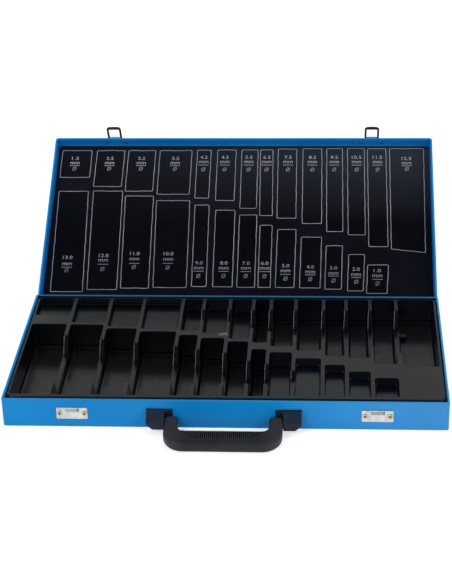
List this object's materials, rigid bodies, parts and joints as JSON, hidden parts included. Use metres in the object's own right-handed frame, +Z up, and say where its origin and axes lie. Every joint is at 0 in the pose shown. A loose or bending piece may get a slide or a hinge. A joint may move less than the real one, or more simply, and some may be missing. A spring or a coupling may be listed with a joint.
{
  "type": "drill bit case",
  "caption": "Flat blue steel drill bit case, open, with a formed black tray of sized pockets, a printed size chart in the lid, snap hasps and a folding handle.",
  "frame": {"origin": "middle of the base's underside, on the surface the case stands on", "axes": "+Z up, -Y towards the handle and latches, +Y towards the hinges, +X to the right from the front"},
  "size_m": [0.47, 0.4998, 0.1635],
  "materials": {
    "blue_enamel": "glossy",
    "tray_plastic": "satin",
    "printed_chart": "satin",
    "handle_plastic": "satin",
    "plated_steel": "satin"
  },
  "bodies": {
    "base": {"base_shell": "blue_enamel", "tray_insert": "tray_plastic", "keeper_plate_left": "plated_steel", "keeper_plate_right": "plated_steel", "keeper_rivets": "plated_steel", "handle_bracket_left": "handle_plastic", "handle_bracket_right": "handle_plastic", "bracket_screws": "plated_steel", "hinge_left_base_leaf": "plated_steel", "hinge_right_base_leaf": "plated_steel", "hinge_left_pin": "plated_steel", "hinge_right_pin": "plated_steel", "base_hinge_rivets": "plated_steel"},
    "lid": {"lid_shell": "blue_enamel", "chart_sheet": "printed_chart", "hinge_left_lid_leaf": "plated_steel", "hinge_right_lid_leaf": "plated_steel", "lid_hinge_rivets": "plated_steel", "hasp_plate_left": "plated_steel", "hasp_plate_right": "plated_steel", "hasp_rivets": "plated_steel"},
    "hasp_left": {"hasp_loop_left": "plated_steel"},
    "hasp_right": {"hasp_loop_right": "plated_steel"},
    "handle": {"handle": "handle_plastic"}
  },
  "joints": [
    {"name": "lid_hinge", "type": "hinge", "parent": "base", "child": "lid", "pos_m": [0, 0.1196, 0.0302], "axis": [1, 0, 0], "range_deg": [0, 149.7]},
    {"name": "hasp_left_hinge", "type": "hinge", "parent": "lid", "child": "hasp_left", "pos_m": [-0.1605, 0.3295, 0.14452], "axis": [-1, 0, 0], "range_deg": [0, 120]},
    {"name": "hasp_right_hinge", "type": "hinge", "parent": "lid", "child": "hasp_right", "pos_m": [0.1605, 0.3295, 0.14452], "axis": [-1, 0, 0], "range_deg": [0, 120]},
    {"name": "handle_hinge", "type": "hinge", "parent": "base", "child": "handle", "pos_m": [0, -0.125, 0.0114], "axis": [-1, 0, 0], "range_deg": [0, 82]}
  ]
}
